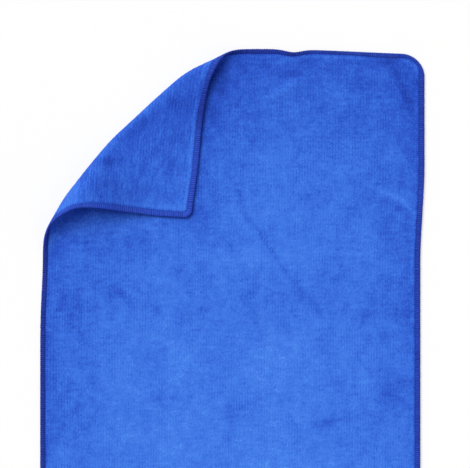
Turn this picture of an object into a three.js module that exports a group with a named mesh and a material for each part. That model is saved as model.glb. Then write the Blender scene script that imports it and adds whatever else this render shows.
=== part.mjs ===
// Microfibre sports towel, lying flat, with one corner turned over onto its face.
//
// The towel is drawn on a flat plan first: `across` runs to the right and `down` towards the lower
// hem, both from the corner that is turned over. middleAt() carries a plan point to its place in the
// folded towel. Every solid is a skin whose points lie a `height` above or below that middle surface,
// and an `inset` in from the outer edge of the towel. Millimetres, +Z up, the underside at Z = 0 and
// the origin under the middle of the towel.
import * as THREE from 'three';
import { mergeGeometries, mergeVertices } from 'three/addons/utils/BufferGeometryUtils.js';

// The towel laid out flat
const WIDTH = 302;
const LENGTH = 600;
const PLAIN_CORNER_RADIUS = 18;
const TURNED_CORNER_RADIUS = 6.5;

// The terry cloth with the pile of both its faces, and its pressed edge inside the overlocking
const CLOTH_THICKNESS = 2;
const PRESSED_THICKNESS = 1;
const PRESSED_SLOPE = 0.8;

// The overlocking: a band of thread wrapped over the cut edge
const BAND_WIDTH = 4.5;
const BAND_WALL = 0.6;
const BAND_CHAMFER = 0.5;
const CLEARANCE = 0.35;

// The turned corner. The fold rises to the right, and steepens towards the left hem and levels out
// towards the top hem. The roll along it is a half turn, fullest at the left hem.
const FOLD_ANGLE = THREE.MathUtils.degToRad(43);
const FOLD_DISTANCE = 88.8;
const ROLL_RADIUS = 3;
const FOLD_ENDS = [
  { hem: 'left', sign: -1, bendsAt: 62, slope: 0.36, softness: 12, radius: 13.5, grows: 0, full: 66 },
  { hem: 'top', sign: 1, bendsAt: 75, slope: 0.33, softness: 15, radius: 6.5, grows: 60, full: 98 },
];
const FLAP_FALL_LENGTH = 58;
const FLAP_FALL_PER_RADIUS = 2;

// Unevenness of the hems. Beside the turned corner and the roll they stand out or are drawn in.
const LEFT_HEM_OUT = { by: 2.9, from: 25, to: 80, fadesOver: 40 };
const LEFT_HEM_DRAWN_IN = { at: 168, halfWidth: 32, by: 1.9, fadesOver: 60 };
const TOP_HEM_DRAWN_IN = { by: 2.4, to: 45, fadesOver: 40 };
const TOP_HEM_OUT = { at: 106, halfWidth: 22, by: 1.8, fadesOver: 40 };
const RIGHT_HEM_DRAWN_IN = { by: 3.3, from: 90, to: 170 };
const TOP_HEM_DROOP = { by: 4.7, from: 175, to: 330, fadesOver: 120 };
const TOP_HEM_RIPPLE = { at: 199, halfWidth: 9, pulledDown: 2.2, rise: 1.6, fadesOver: 26 };

// Rows of the mesh run along the fold, and columns across it
const COLUMNS = 14;
const ROWS = {
  flap: 10, roll: 16, landing: 8, besideFlap: 6, corner: 5, body: 9, lowerEnd: 7,
};
const FLAT_AFTER = 52;
const CORNER_TIP_ANGLES = [15, 30, 45];

const CLOTH_COLOUR = 0x3b6fdc;
const THREAD_COLOUR = 0x2a4aa6;

const SIN_FOLD = Math.sin(FOLD_ANGLE);
const COS_FOLD = Math.cos(FOLD_ANGLE);
const FOLD_DIRECTION = new THREE.Vector3(COS_FOLD, SIN_FOLD, 0);
const HALF_TURN = Math.PI;
const { lerp, smoothstep, degToRad } = THREE.MathUtils;

// Insets and heights of the edge. The pressed cloth lies in the middle of the band, and the
// underside of the band is level with the underside of the cloth.
const FACE = CLOTH_THICKNESS / 2;
const BAND_BOTTOM = -FACE;
const PRESSED_BOTTOM = BAND_BOTTOM + BAND_WALL + CLEARANCE;
const PRESSED_TOP = PRESSED_BOTTOM + PRESSED_THICKNESS;
const BAND_TOP = PRESSED_TOP + CLEARANCE + BAND_WALL;
const CUT_EDGE_INSET = BAND_WALL + CLEARANCE;
const PRESSED_INSET = BAND_WIDTH + CLEARANCE;
const FACE_INSET = PRESSED_INSET + PRESSED_SLOPE;
const FLAP_REST = FACE + CLEARANCE + BAND_TOP;

// The cloth's edge, from its underside round the cut edge to its upper face
const CLOTH_EDGE = [
  { inset: FACE_INSET, height: -FACE },
  { inset: PRESSED_INSET, height: PRESSED_BOTTOM },
  { inset: CUT_EDGE_INSET, height: PRESSED_BOTTOM },
  { inset: CUT_EDGE_INSET, height: PRESSED_TOP },
  { inset: PRESSED_INSET, height: PRESSED_TOP },
  { inset: FACE_INSET, height: FACE },
];

// The band's section, a channel that opens towards the cloth
const BAND_SECTION = [
  { inset: BAND_WALL, height: PRESSED_TOP + CLEARANCE },
  { inset: BAND_WALL, height: BAND_BOTTOM + BAND_WALL },
  { inset: BAND_WIDTH, height: BAND_BOTTOM + BAND_WALL },
  { inset: BAND_WIDTH, height: BAND_BOTTOM },
  { inset: BAND_CHAMFER, height: BAND_BOTTOM },
  { inset: 0, height: BAND_BOTTOM + BAND_CHAMFER },
  { inset: 0, height: BAND_TOP - BAND_CHAMFER },
  { inset: BAND_CHAMFER, height: BAND_TOP },
  { inset: BAND_WIDTH - BAND_CHAMFER, height: BAND_TOP },
  { inset: BAND_WIDTH, height: BAND_TOP - BAND_CHAMFER / 2 },
  { inset: BAND_WIDTH, height: PRESSED_TOP + CLEARANCE },
];

// A place in the plan by its distance along the fold and its distance from the turned corner.
function alongFold(point) {
  return point.across * COS_FOLD - point.down * SIN_FOLD;
}

function pastCorner(point) {
  return point.across * SIN_FOLD + point.down * COS_FOLD;
}

function planPoint(along, distance) {
  return {
    across: distance * SIN_FOLD + along * COS_FOLD,
    down: distance * COS_FOLD - along * SIN_FOLD,
  };
}

// Radius of the roll at a place along the fold.
function rollRadius(along) {
  const grown = FOLD_ENDS.map(
    (end) => (end.radius - ROLL_RADIUS) * smoothstep(along * end.sign, end.grows, end.full),
  );
  return ROLL_RADIUS + grown[0] + grown[1];
}

// How far the fold lies beyond its straight middle stretch: a soft ramp at each end.
function foldBend(along) {
  const ramps = FOLD_ENDS.map((end) => {
    const beyond = along * end.sign - end.bendsAt;
    return (end.slope * (beyond + Math.hypot(beyond, end.softness))) / 2;
  });
  return ramps[0] + ramps[1];
}

// Height of the flap's middle over the cloth below it, at a distance past the top of the roll.
function flapRise(past, radius) {
  const fallLength = FLAP_FALL_LENGTH + FLAP_FALL_PER_RADIUS * (radius - ROLL_RADIUS);
  return lerp(2 * radius, FLAP_REST, smoothstep(past, 0, fallLength));
}

// Where a plan point is once the corner is turned: its distances across and down, and its rise.
function turned(point) {
  const along = alongFold(point);
  const distance = pastCorner(point);
  const radius = rollRadius(along);
  const fold = FOLD_DISTANCE + foldBend(along);
  const liftOff = fold + (HALF_TURN / 2) * radius;
  const angle = (liftOff - distance) / radius;
  if (angle > HALF_TURN) {
    const placed = 2 * fold - distance;
    return { ...planPoint(along, placed), rise: flapRise(placed - liftOff, radius) };
  }
  if (angle > 0) {
    const placed = liftOff - radius * Math.sin(angle);
    return { ...planPoint(along, placed), rise: radius * (1 - Math.cos(angle)) };
  }
  return { ...point, rise: 0 };
}

// A soft bump of height one, from its middle to nothing.
function bump(offset, halfWidth) {
  return Math.exp(-((offset / halfWidth) ** 2));
}

// A measure that fades from all of it at a hem to nothing, at a distance in from that hem.
function fading(measure, { by, fadesOver }, distance) {
  return by * measure * (1 - smoothstep(distance, 0, fadesOver));
}

// A plan point before the corner is turned, moved as the left and top hems are uneven.
function unevenPlan(across, down) {
  const leftOut = 1 - smoothstep(down, LEFT_HEM_OUT.from, LEFT_HEM_OUT.to);
  const leftIn = bump(down - LEFT_HEM_DRAWN_IN.at, LEFT_HEM_DRAWN_IN.halfWidth);
  const topIn = 1 - smoothstep(across, 0, TOP_HEM_DRAWN_IN.to);
  const topOut = bump(across - TOP_HEM_OUT.at, TOP_HEM_OUT.halfWidth);
  return {
    across: across
      - fading(leftOut, LEFT_HEM_OUT, across) + fading(leftIn, LEFT_HEM_DRAWN_IN, across),
    down: down + fading(topIn, TOP_HEM_DRAWN_IN, down) - fading(topOut, TOP_HEM_OUT, down),
  };
}

// A plan point on the middle surface of the folded towel, with the hems' unevenness.
function middleAt(across, down) {
  const point = turned(unevenPlan(across, down));
  const ripple = bump(across - TOP_HEM_RIPPLE.at, TOP_HEM_RIPPLE.halfWidth);
  const rippleFade = ripple * (1 - smoothstep(down, 0, TOP_HEM_RIPPLE.fadesOver));
  const droop = smoothstep(across, TOP_HEM_DROOP.from, TOP_HEM_DROOP.to);
  const droopFade = droop * (1 - smoothstep(down, 0, TOP_HEM_DROOP.fadesOver));
  const drawnIn = smoothstep(down, RIGHT_HEM_DRAWN_IN.from, RIGHT_HEM_DRAWN_IN.to);
  const pulledDown = TOP_HEM_DROOP.by * droopFade + TOP_HEM_RIPPLE.pulledDown * rippleFade;
  const pulledIn = RIGHT_HEM_DRAWN_IN.by * drawnIn * (across / WIDTH) ** 2;
  return new THREE.Vector3(
    point.across - pulledIn - WIDTH / 2,
    LENGTH / 2 - point.down - pulledDown,
    FACE + point.rise + TOP_HEM_RIPPLE.rise * rippleFade,
  );
}

// A point at a height over the middle surface, measured square to it.
function skinPoint(across, down, height) {
  const step = 0.05;
  const rightward = middleAt(across + step, down).sub(middleAt(across - step, down));
  const upward = middleAt(across, down - step).sub(middleAt(across, down + step));
  const normal = rightward.cross(upward).normalize();
  return middleAt(across, down).addScaledVector(normal, height);
}

// The outline's two halves run from the turned corner to the corner opposite. Each is three arcs
// joined by straight hems, and an arc's angles are those of its outward direction, down being +90.
function corner(radius, isRight, isLower) {
  return {
    across: isRight ? WIDTH - radius : radius,
    down: isLower ? LENGTH - radius : radius,
    radius,
  };
}

const TURNED = corner(TURNED_CORNER_RADIUS, false, false);
const TOP_RIGHT = corner(PLAIN_CORNER_RADIUS, true, false);
const LOWER_LEFT = corner(PLAIN_CORNER_RADIUS, false, true);
const LOWER_RIGHT = corner(PLAIN_CORNER_RADIUS, true, true);
const AWAY = Math.PI / 2 - FOLD_ANGLE;
const LEFT_HALF = [
  { ...TURNED, from: AWAY + Math.PI, to: Math.PI },
  { ...LOWER_LEFT, from: Math.PI, to: Math.PI / 2 },
  { ...LOWER_RIGHT, from: Math.PI / 2, to: AWAY },
];
const RIGHT_HALF = [
  { ...TURNED, from: AWAY - Math.PI, to: -Math.PI / 2 },
  { ...TOP_RIGHT, from: -Math.PI / 2, to: 0 },
  { ...LOWER_RIGHT, from: 0, to: AWAY },
];

function arcPoint(arc, angle, inset) {
  return {
    across: arc.across + (arc.radius - inset) * Math.cos(angle),
    down: arc.down + (arc.radius - inset) * Math.sin(angle),
    outward: angle,
  };
}

// A point of one half of the outline. Whole steps of `walked` are the ends of its arcs and hems.
function outlinePoint(half, walked, inset) {
  const piece = Math.min(Math.floor(walked), 2 * half.length - 2);
  const share = walked - piece;
  const arc = half[Math.floor(piece / 2)];
  if (piece % 2 === 0) {
    return arcPoint(arc, lerp(arc.from, arc.to, share), inset);
  }
  const next = half[(piece + 1) / 2];
  const start = arcPoint(arc, arc.to, inset);
  const end = arcPoint(next, next.from, inset);
  return {
    across: lerp(start.across, end.across, share),
    down: lerp(start.down, end.down, share),
    outward: arc.to,
  };
}

// A row's distance from the turned corner at a place along it. A row follows the bend of the fold
// in part, and turns with the roll by an angle.
function rowDistance(row, along) {
  return row.distance + row.follows * foldBend(along) + row.turn * rollRadius(along);
}

// Where a row meets one half of the outline of the cloth's face, by halving the interval.
function rowEnd(half, row) {
  let near = 0;
  let far = 2 * half.length - 1;
  for (let halving = 0; halving < 48; halving += 1) {
    const middle = (near + far) / 2;
    const point = outlinePoint(half, middle, FACE_INSET);
    if (pastCorner(point) > rowDistance(row, alongFold(point))) {
      far = middle;
    } else {
      near = middle;
    }
  }
  return outlinePoint(half, near, FACE_INSET);
}

// Rows from one to another, the last of them left to the next stretch.
function stretch(from, to, rows) {
  return Array.from({ length: rows }, (_, row) => ({
    distance: lerp(from.distance, to.distance, row / rows),
    follows: lerp(from.follows, to.follows, row / rows),
    turn: lerp(from.turn, to.turn, row / rows),
  }));
}

// A straight row at a reach past a point.
function straightRow(point, reach) {
  return { distance: pastCorner(point) + reach, follows: 0, turn: 0 };
}

// All the rows, from the turned corner to the corner opposite.
function layRows() {
  const turnedRadius = TURNED_CORNER_RADIUS - FACE_INSET;
  const plainRadius = PLAIN_CORNER_RADIUS - FACE_INSET;
  const tips = CORNER_TIP_ANGLES.map((angle) => Math.cos(degToRad(angle)));
  const turnedTips = tips.map((reach) => straightRow(TURNED, -reach * turnedRadius));
  const farTips = tips.map((reach) => straightRow(LOWER_RIGHT, reach * plainRadius)).reverse();
  const rollStart = { distance: FOLD_DISTANCE, follows: 1, turn: -HALF_TURN / 2 };
  const rollEnd = { distance: FOLD_DISTANCE, follows: 1, turn: HALF_TURN / 2 };
  const flat = { distance: FOLD_DISTANCE + FLAT_AFTER, follows: 0, turn: 0 };
  const topRightStart = straightRow(TOP_RIGHT, -plainRadius * COS_FOLD);
  const topRightEnd = straightRow(TOP_RIGHT, plainRadius * SIN_FOLD);
  const lowerLeftStart = straightRow(LOWER_LEFT, -plainRadius * SIN_FOLD);
  const lowerLeftEnd = straightRow(LOWER_LEFT, plainRadius * COS_FOLD);
  return [
    ...turnedTips.slice(0, -1),
    ...stretch(turnedTips.at(-1), rollStart, ROWS.flap),
    ...stretch(rollStart, rollEnd, ROWS.roll),
    ...stretch(rollEnd, flat, ROWS.landing),
    ...stretch(flat, topRightStart, ROWS.besideFlap),
    ...stretch(topRightStart, topRightEnd, ROWS.corner),
    ...stretch(topRightEnd, lowerLeftStart, ROWS.body),
    ...stretch(lowerLeftStart, lowerLeftEnd, ROWS.corner),
    ...stretch(lowerLeftEnd, farTips[0], ROWS.lowerEnd),
    ...farTips,
  ];
}

// A row's plan points, from the left half of the outline to the right half.
function rowPoints(row) {
  const left = rowEnd(LEFT_HALF, row);
  const right = rowEnd(RIGHT_HALF, row);
  const inner = Array.from({ length: COLUMNS - 1 }, (_, column) => {
    const along = lerp(alongFold(left), alongFold(right), (column + 1) / COLUMNS);
    return planPoint(along, rowDistance(row, along));
  });
  return [left, ...inner, right];
}

// The two triangles of a cell, parted along whichever diagonal lies nearer to the fold, so that
// cells bend with the roll. Where two corners are one point, only one triangle is left.
function cellTriangles([first, second, third, fourth]) {
  const onward = Math.abs(third.clone().sub(first).dot(FOLD_DIRECTION));
  const backward = Math.abs(fourth.clone().sub(second).dot(FOLD_DIRECTION));
  const pair = onward >= backward
    ? [[first, second, third], [first, third, fourth]]
    : [[first, second, fourth], [second, third, fourth]];
  return pair.filter(([a, b, c]) => !a.equals(b) && !b.equals(c) && !c.equals(a));
}

// A mesh from a grid of points. A closed grid joins its last column to its first.
function gridGeometry(grid, closed) {
  const columns = grid[0].length;
  const triangles = [];
  for (let row = 0; row + 1 < grid.length; row += 1) {
    for (let column = 0; column < columns - (closed ? 0 : 1); column += 1) {
      const next = (column + 1) % columns;
      const cell = [grid[row][column], grid[row][next], grid[row + 1][next], grid[row + 1][column]];
      triangles.push(...cellTriangles(cell).flat());
    }
  }
  return new THREE.BufferGeometry().setFromPoints(triangles);
}

const rows = layRows().map(rowPoints);
const turnedTip = outlinePoint(LEFT_HALF, 0, FACE_INSET);
const farTip = outlinePoint(LEFT_HALF, 2 * LEFT_HALF.length - 1, FACE_INSET);

// Stations round the whole outline, through the ends of the rows and the two extreme points.
const stations = [
  turnedTip,
  ...rows.map((row) => row[0]),
  farTip,
  ...rows.map((row) => row[COLUMNS]).reverse(),
];

// One line of points round the towel, at an inset from its edge and a height over its middle.
function edgeLine({ inset, height }) {
  return stations.map((station) => skinPoint(
    station.across + (FACE_INSET - inset) * Math.cos(station.outward),
    station.down + (FACE_INSET - inset) * Math.sin(station.outward),
    height,
  ));
}

// One face of the cloth inside its edge, as rows of points.
function faceGrid(height) {
  const single = (tip) => Array(COLUMNS + 1).fill(skinPoint(tip.across, tip.down, height));
  const filled = rows.map((row) => row.map((point) => skinPoint(point.across, point.down, height)));
  return [single(turnedTip), ...filled, single(farTip)];
}

// The terry cloth: its two faces, joined by its edge.
function clothGeometry() {
  const upper = gridGeometry(faceGrid(FACE).reverse(), false);
  const lower = gridGeometry(faceGrid(-FACE), false);
  const edge = gridGeometry(CLOTH_EDGE.map(edgeLine), true);
  return mergeVertices(mergeGeometries([upper, lower, edge]), 1e-4);
}

// The overlocking: the channel section carried round the whole edge.
function bandGeometry() {
  const lines = BAND_SECTION.map(edgeLine);
  return mergeVertices(gridGeometry([...lines, lines[0]], true), 1e-4);
}

function addPiece(group, name, geometry, colour, roughness) {
  const material = new THREE.MeshStandardMaterial({ color: colour, roughness, metalness: 0 });
  const mesh = new THREE.Mesh(geometry, material);
  mesh.name = name;
  group.add(mesh);
}

const group = new THREE.Group();
addPiece(group, 'terry_cloth', clothGeometry(), CLOTH_COLOUR, 0.95);
addPiece(group, 'overlocked_edge', bandGeometry(), THREAD_COLOUR, 0.7);

export default group;
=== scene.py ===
import bpy
import numpy as np
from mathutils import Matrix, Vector


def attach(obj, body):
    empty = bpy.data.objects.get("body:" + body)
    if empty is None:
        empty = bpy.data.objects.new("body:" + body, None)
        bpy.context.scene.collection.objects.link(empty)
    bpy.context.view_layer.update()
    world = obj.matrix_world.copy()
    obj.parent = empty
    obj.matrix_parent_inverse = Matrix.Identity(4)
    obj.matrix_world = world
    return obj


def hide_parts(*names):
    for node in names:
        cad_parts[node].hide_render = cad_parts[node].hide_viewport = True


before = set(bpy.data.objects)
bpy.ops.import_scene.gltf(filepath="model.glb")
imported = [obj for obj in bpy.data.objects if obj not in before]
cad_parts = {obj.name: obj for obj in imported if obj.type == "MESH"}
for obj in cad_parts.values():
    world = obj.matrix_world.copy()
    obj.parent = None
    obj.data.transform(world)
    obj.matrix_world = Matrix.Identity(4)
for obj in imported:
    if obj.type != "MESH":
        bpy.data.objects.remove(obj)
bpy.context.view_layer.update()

# Looks of a microfibre sports towel that lies flat with one corner turned over onto its face.
#
# The towel is drawn on a flat plan in millimetres: `across` runs right and `down` towards the lower
# hem, both from the corner that is turned over. middle() carries plan points to their places in the
# folded towel, and skin() adds a height square to it, face side positive. A knitted ground carries
# ribbed pile on both faces, and an overlocked edge of wound thread goes round it.

METRES = 0.001
HALF_TURN = np.pi

# ---------------------------------------------------------------- the towel's plan and its fold
# The turned corner is sharper than the three plain ones. The fold is a line at a distance from the
# turned corner, which ramps away from it at both ends, and the flap comes to rest over the face.
WIDTH, LENGTH = 302.0, 600.0
TURNED_RADIUS, PLAIN_RADIUS = 6.5, 18.0
CLOTH_HALF = 1.0
FOLD_ANGLE = np.radians(43)
SIN, COS = np.sin(FOLD_ANGLE), np.cos(FOLD_ANGLE)
FOLD_DISTANCE = 88.8
ROLL_RADIUS = 3.0
FLAP_REST = 3.25
FOLD_ENDS = (
    dict(sign=-1, bends_at=62, slope=0.36, softness=12, radius=13.5, grows=0, full=66),
    dict(sign=1, bends_at=75, slope=0.33, softness=15, radius=6.5, grows=60, full=98),
)
# Where the turned hems roll under near the ends of the fold: the places along them.
TOP_UNDER = dict(place=109, half_width=18, amount=1.9)
LEFT_UNDER = dict(place=93, half_width=18, amount=1.6)
LEFT_UNDER_ON_BACK = dict(place=112, half_width=12, amount=1.6)
# The pile stands up in a low rim at this inset, just inside the overlocking, and is painted lighter
# there along the top and right hems as a painted highlight.
RIM_INSET = 6.2


def ease(value, low, high):
    """The smooth step 3t^2 - 2t^3, where t runs from 0 at low to 1 at high."""
    share = np.clip((value - low) / (high - low), 0, 1)
    return share * share * (3 - 2 * share)


def mix(first, second, share):
    """The value a share of the way from the first to the second."""
    return first + (second - first) * share


def bump(offset, half_width):
    """A soft bump of height one: e to the minus square of offset over half_width."""
    return np.exp(-((offset / half_width) ** 2))


def uneven(across, down, size, seed):
    """Seeded unevenness from -1 to 1: random values on a square lattice `size` apart, eased
    between its points."""
    shape = (int(WIDTH / size) + 5, int(LENGTH / size) + 5)
    lattice = np.random.default_rng(seed).uniform(-1, 1, shape)
    column = np.clip(across / size + 1.5, 0, shape[0] - 1.001)
    row = np.clip(down / size + 1.5, 0, shape[1] - 1.001)
    i, j = column.astype(int), row.astype(int)
    right, lower = ease(column - i, 0, 1), ease(row - j, 0, 1)
    top = mix(lattice[i, j], lattice[i + 1, j], right)
    bottom = mix(lattice[i, j + 1], lattice[i + 1, j + 1], right)
    return mix(top, bottom, lower)


def fold_at(along):
    """The fold's distance from the turned corner and the roll's radius, at a place along the fold.
    Each end adds a soft ramp to the distance and a smooth step to the radius."""
    fold, radius = FOLD_DISTANCE, ROLL_RADIUS
    for end in FOLD_ENDS:
        outward = along * end["sign"]
        beyond = outward - end["bends_at"]
        fold = fold + end["slope"] * (beyond + np.hypot(beyond, end["softness"])) / 2
        grown = ease(outward, end["grows"], end["full"])
        radius = radius + (end["radius"] - ROLL_RADIUS) * grown
    return fold, radius


def turned(across, down):
    """Where plan points lie once the corner is turned: distances across and down, the rise, how far
    each lies past the roll on the lower layer, and how far past it on the flap.
    A half turn of the roll's radius carries the cloth over; the flap then falls by a smooth step."""
    along = across * COS - down * SIN
    distance = across * SIN + down * COS
    fold, radius = fold_at(along)
    lift_off = fold + HALF_TURN / 2 * radius
    angle = (lift_off - distance) / radius
    on_flap, on_roll = angle > HALF_TURN, angle > 0
    rolled = np.clip(angle, 0, HALF_TURN)
    placed = np.where(on_flap, 2 * fold - distance, lift_off - radius * np.sin(rolled))
    placed = np.where(on_roll, placed, distance)
    fall = 58 + 2 * (radius - ROLL_RADIUS)
    flap_rise = mix(2 * radius, FLAP_REST, ease(placed - lift_off, 0, fall))
    rise = np.where(on_flap, flap_rise, radius * (1 - np.cos(rolled)))
    past_flap = np.where(on_flap, placed - lift_off, -1)
    return placed * SIN + along * COS, placed * COS - along * SIN, rise, -angle * radius, past_flap


def outside_flap(across, down):
    """How far a point of the lower layer lies outside the turned flap: it is mirrored in the fold,
    and its mirror image's shorter distance beyond the two hems is taken."""
    along = across * COS - down * SIN
    mirrored = 2 * fold_at(along)[0] - (across * SIN + down * COS)
    over = mirrored * SIN + along * COS
    under = mirrored * COS - along * SIN
    return -np.minimum(over, under)


# ---------------------------------------------------------------- creases and brushed patches
# A crease follows its points. Its half width and height are in millimetres, and `dark` is how much
# darker the pile is painted along it, as painted shade, or lighter where it is negative, as painted
# highlight.
LOWER_CREASES = (
    dict(points=((170, 43), (190, 33), (212, 20)), half=3.6, height=0.9, dark=-0.13),
    dict(points=((264, 110), (284, 119), (304, 134)), half=1.8, height=0.6, dark=-0.24),
    dict(points=((258, 115), (274, 121), (291, 133)), half=2.8, height=0.3, dark=0.16),
    dict(points=((277, 14), (284, 27), (291, 50)), half=2.6, height=0.8, dark=0.24),
    dict(points=((272, 56), (282, 72), (293, 90)), half=3.0, height=0.5, dark=0.14),
    dict(points=((145, 100), (160, 135), (190, 171), (203, 190)), half=5.0, height=0.5, dark=0.0),
    dict(points=((212, 186), (238, 218), (262, 246)), half=6.0, height=0.6, dark=0.0),
    dict(points=((167, 182), (168, 206), (176, 246)), half=3.4, height=0.5, dark=0.11),
    dict(points=((116, 202), (108, 215), (101, 226)), half=2.6, height=0.4, dark=0.12),
    dict(points=((126, 196), (147, 225)), half=3.0, height=0.5, dark=-0.08),
    dict(points=((40, 420), (96, 396), (150, 404)), half=8.0, height=0.8, dark=0.05),
    dict(points=((188, 352), (236, 372), (287, 366)), half=7.0, height=0.7, dark=0.06),
    dict(points=((120, 480), (190, 520), (262, 528)), half=9.0, height=0.9, dark=0.05),
    dict(points=((20, 330), (34, 372), (30, 410)), half=5.0, height=0.6, dark=0.06),
)
# Dents press the face's pile lower by their height, and their `dark` is painted shade along them.
LOWER_DENTS = (
    dict(points=((151, 101), (163, 130), (180, 156), (207, 190)), half=2.2, height=0.12, dark=0.17),
    dict(points=((201, 184), (215, 199), (231, 217)), half=2.2, height=0.08, dark=0.09),
    dict(points=((244, 233), (254, 246), (264, 256)), half=2.4, height=0.08, dark=0.13),
    dict(points=((72, 372), (110, 430), (118, 462)), half=2.4, height=0.18, dark=0.20),
    dict(points=((222, 430), (204, 474), (212, 506)), half=2.2, height=0.18, dark=0.18),
)
FLAP_CREASES = (
    dict(points=((96, 78), (104, 112)), half=5.0, height=0.4, dark=0.05),
    dict(points=((50, 110), (86, 132)), half=6.0, height=0.5, dark=-0.05),
)

# A patch is an oval of darker or lighter pile, some of them brushed pile and others painted shade,
# painted shadow and painted highlight: its middle across and down, its half sizes, its turn in
# degrees and its shade.
LOWER_PATCHES = (
    # Painted shadow beside the flap's upright hem, where the raised flap shades the lower layer.
    (141, 34, 9, 24, 14, 0.20),
    (154, 38, 16, 30, 12, 0.08),
    (196, 20, 11, 4, -8, 0.16),
    (248, 22, 20, 5, 8, 0.08),
    (291, 10, 7, 2.5, 45, -0.16),
    (274, 8, 8, 4, 0, 0.16),
    (281, 15, 5, 4, 0, 0.12),
    (222, 44, 5, 8, 0, 0.08),
    (212, 65, 12, 9, 0, -0.10),
    (228, 32, 20, 10, 0, -0.07),
    (244, 80, 14, 12, 0, -0.09),
    (292, 40, 8, 30, 0, 0.08),
    (180, 92, 22, 16, 10, -0.08),
    (236, 152, 18, 20, 0, -0.04),
    (275, 142, 5, 16, 0, 0.12),
    (150, 160, 26, 12, 40, 0.10),
    # Painted shadow in the pocket under the roll's left end.
    (9, 158, 10, 16, 0, 0.16),
    (12, 148, 10, 12, 0, 0.18),
    (80, 148, 16, 14, 0, 0.09),
    (64, 154, 40, 9, 0, 0.10),
    (172, 164, 46, 8, 0, -0.16),
    (71, 167, 10, 4, 0, 0.10),
    (108, 173, 4, 9, -10, 0.14),
    (90, 179, 9, 8, 0, -0.06),
    (60, 191, 6, 5, 0, 0.18),
    (72, 198, 6, 4, 20, 0.14),
    (22, 203, 6, 6, 0, 0.12),
    (92, 204, 5, 5, 0, 0.18),
    (133, 203, 12, 3, -10, 0.14),
    (216, 198, 10, 8, 30, 0.12),
    (257, 209, 8, 5, 0, 0.18),
    (273, 225, 4, 5, 0, 0.14),
    (60, 215, 10, 10, 0, -0.08),
    (122, 240, 30, 16, 15, -0.06),
    (135, 243, 6, 8, 0, 0.14),
    (196, 236, 24, 18, -30, -0.10),
    (31, 246, 5, 5, 0, 0.10),
    (60, 262, 20, 24, 0, -0.03),
    (140, 262, 10, 22, 12, 0.10),
    (92, 274, 6, 6, 0, 0.20),
    (105, 274, 9, 3, 0, 0.14),
    (174, 273, 7, 3, -8, 0.14),
    (154, 286, 14, 6, -28, 0.12),
    (276, 272, 12, 16, 0, 0.20),
    (236, 262, 14, 14, 0, 0.07),
    (94, 291, 14, 8, 0, 0.07),
    (165, 263, 12, 12, 0, -0.08),
    (8, 206, 8, 14, 0, -0.08),
    (262, 290, 12, 14, 15, 0.10),
    (228, 293, 18, 5, -14, 0.26),
    (30, 286, 12, 20, 0, 0.10),
    (286, 210, 14, 110, 0, 0.09),
    (40, 176, 14, 26, 0, 0.03),
    (76, 300, 26, 12, 5, -0.04),
    (80, 352, 30, 14, -15, 0.14),
    (210, 340, 34, 16, 12, -0.12),
    (150, 404, 20, 26, 30, 0.12),
    (258, 430, 16, 34, 0, 0.14),
    (60, 462, 24, 18, 20, -0.12),
    (180, 500, 34, 14, -10, 0.16),
    (100, 548, 30, 12, 0, 0.12),
    (246, 560, 24, 16, 15, -0.10),
)
FLAP_PATCHES = (
    (53, 88, 9, 4, -10, 0.24),
    (80, 59, 12, 5, -42, 0.26),
    (104, 43, 8, 6, -45, 0.18),
    (118, 18, 16, 7, -35, 0.16),
    (72, 72, 8, 6, -30, 0.10),
    (100, 78, 10, 16, 20, 0.08),
    (104, 112, 12, 16, 0, 0.04),
    (104, 50, 14, 20, 10, 0.06),
    (24, 116, 12, 5, -50, -0.14),
    (60, 122, 12, 8, 0, 0.08),
    (38, 103, 8, 11, -40, 0.13),
    (112, 62, 6, 16, 0, -0.04),
    (118, 40, 8, 14, 10, 0.12),
)


def distance_to_line(across, down, points):
    """Distance to the nearest of the straight stretches between points, and the share walked."""
    stretches = len(points) - 1
    nearest = np.full(np.shape(across), 1e9)
    walked = np.zeros(np.shape(across))
    for number, (start, end) in enumerate(zip(points, points[1:])):
        run, fall = end[0] - start[0], end[1] - start[1]
        share = ((across - start[0]) * run + (down - start[1]) * fall) / (run * run + fall * fall)
        share = np.clip(share, 0, 1)
        apart = np.hypot(across - start[0] - share * run, down - start[1] - share * fall)
        nearer = apart < nearest
        nearest = np.where(nearer, apart, nearest)
        walked = np.where(nearer, (number + share) / stretches, walked)
    return nearest, walked


def crease_sum(across, down, creases, wanted):
    """Sum over creases of the wanted measure times a soft bump across it that is strongest half way
    along and dies away at both ends, its line wandering a little."""
    wander = 1.6 * uneven(across, down, 17, 31)
    total = 0
    for crease in creases:
        apart, walked = distance_to_line(across + wander, down - wander, crease["points"])
        strength = np.sin(HALF_TURN * np.clip(0.06 + 0.88 * walked, 0, 1)) ** 0.7
        total = total + crease[wanted] * bump(apart, crease["half"]) * strength
    return total


def patch_sum(across, down, patches):
    """Sum over oval patches of each one's shade times a soft bump in its own turned axes."""
    total = 0
    for mid_across, mid_down, half_across, half_down, turn, shade in patches:
        cos, sin = np.cos(np.radians(turn)), np.sin(np.radians(turn))
        right, lower = across - mid_across, down - mid_down
        first = (right * cos + lower * sin) / half_across
        second = (lower * cos - right * sin) / half_down
        total = total + shade * np.exp(-(first**2) - second**2)
    return total


def lift(across, down, past_roll):
    """How far the lower layer buckles up off the surface: its creases and a broad waviness, none of
    it under the flap or on the roll."""
    free = ease(outside_flap(across, down), 1, 16) * ease(past_roll, 0, 24)
    wave = 0.30 * (1 + uneven(across, down, 52, 5)) + 0.12 * (1 + uneven(across, down, 21, 6))
    return free * (wave + crease_sum(across, down, LOWER_CREASES, "height"))


def flap_lift(across, down, past_flap):
    """How far the flap's creases and waviness raise it, fading towards the roll."""
    wave = 0.25 * (1 + uneven(across, down, 34, 7))
    creases = crease_sum(across, down, FLAP_CREASES, "height")
    return ease(past_flap, 2, 30) * (wave + creases)


def rolled_under(along, place, half_width, amount):
    """How far a turned hem is rolled under at a place along it, near one end of the fold."""
    return amount * bump(along - place, half_width)


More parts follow.
